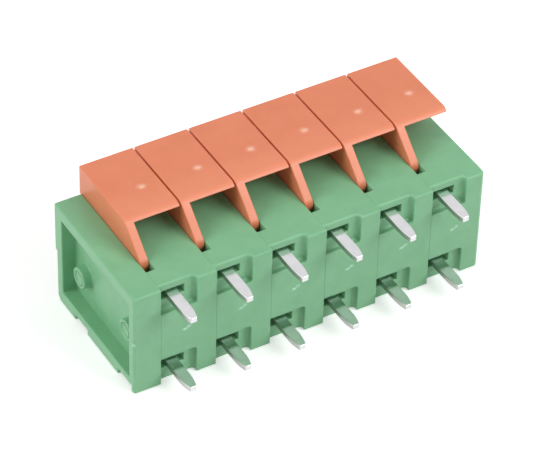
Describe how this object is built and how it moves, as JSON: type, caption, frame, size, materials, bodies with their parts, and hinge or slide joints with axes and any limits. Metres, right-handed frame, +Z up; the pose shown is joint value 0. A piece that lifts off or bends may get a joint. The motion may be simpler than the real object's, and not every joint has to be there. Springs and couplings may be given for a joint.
{
  "type": "screwless pcb terminal block",
  "caption": "Board-mounted spring-clamp terminal block: green housings in a row, each with an orange press lever over its wire entry and flat tinned solder pins on the board face.",
  "frame": {"origin": "on the plane the block lies on, under the middle of its outline", "axes": "+X along the row of poles from the end plate, -Y out of the board face along the solder pins, +Z up through the lever side"},
  "size_m": [0.033, 0.0172, 0.0128],
  "materials": {
    "housing_green": "satin moulded polyamide",
    "lever_orange": "satin moulded polyamide",
    "contact_tin": "bright tin plate over brass strip",
    "spring_steel": "rolled stainless strip"
  },
  "bodies": {
    "block": {"end_plate": "housing_green", "housing_1": "housing_green", "housing_2": "housing_green", "housing_3": "housing_green", "housing_4": "housing_green", "housing_5": "housing_green", "housing_6": "housing_green", "contact_1": "contact_tin", "contact_2": "contact_tin", "contact_3": "contact_tin", "contact_4": "contact_tin", "contact_5": "contact_tin", "contact_6": "contact_tin", "cage_spring_1": "spring_steel", "cage_spring_2": "spring_steel", "cage_spring_3": "spring_steel", "cage_spring_4": "spring_steel", "cage_spring_5": "spring_steel", "cage_spring_6": "spring_steel"},
    "lever_1": {"lever_1": "lever_orange"},
    "lever_2": {"lever_2": "lever_orange"},
    "lever_3": {"lever_3": "lever_orange"},
    "lever_4": {"lever_4": "lever_orange"},
    "lever_5": {"lever_5": "lever_orange"},
    "lever_6": {"lever_6": "lever_orange"}
  },
  "joints": [
    {"name": "lever_1_press", "type": "hinge", "parent": "block", "child": "lever_1", "pos_m": [-0.01217, -0.00068, 0.00717], "axis": [-1, 0, 0], "range_deg": [0, 10], "stiffness_Nm_per_rad": 0.5, "deforming": ["cage_spring_1"]},
    {"name": "lever_2_press", "type": "hinge", "parent": "block", "child": "lever_2", "pos_m": [-0.00709, -0.00068, 0.00717], "axis": [-1, 0, 0], "range_deg": [0, 10], "stiffness_Nm_per_rad": 0.5, "deforming": ["cage_spring_2"]},
    {"name": "lever_3_press", "type": "hinge", "parent": "block", "child": "lever_3", "pos_m": [-0.002, -0.00068, 0.00717], "axis": [-1, 0, 0], "range_deg": [0, 10], "stiffness_Nm_per_rad": 0.5, "deforming": ["cage_spring_3"]},
    {"name": "lever_4_press", "type": "hinge", "parent": "block", "child": "lever_4", "pos_m": [0.00308, -0.00068, 0.00717], "axis": [-1, 0, 0], "range_deg": [0, 10], "stiffness_Nm_per_rad": 0.5, "deforming": ["cage_spring_4"]},
    {"name": "lever_5_press", "type": "hinge", "parent": "block", "child": "lever_5", "pos_m": [0.00816, -0.00068, 0.00717], "axis": [-1, 0, 0], "range_deg": [0, 10], "stiffness_Nm_per_rad": 0.5, "deforming": ["cage_spring_5"]},
    {"name": "lever_6_press", "type": "hinge", "parent": "block", "child": "lever_6", "pos_m": [0.01324, -0.00068, 0.00717], "axis": [-1, 0, 0], "range_deg": [0, 10], "stiffness_Nm_per_rad": 0.5, "deforming": ["cage_spring_6"]}
  ]
}
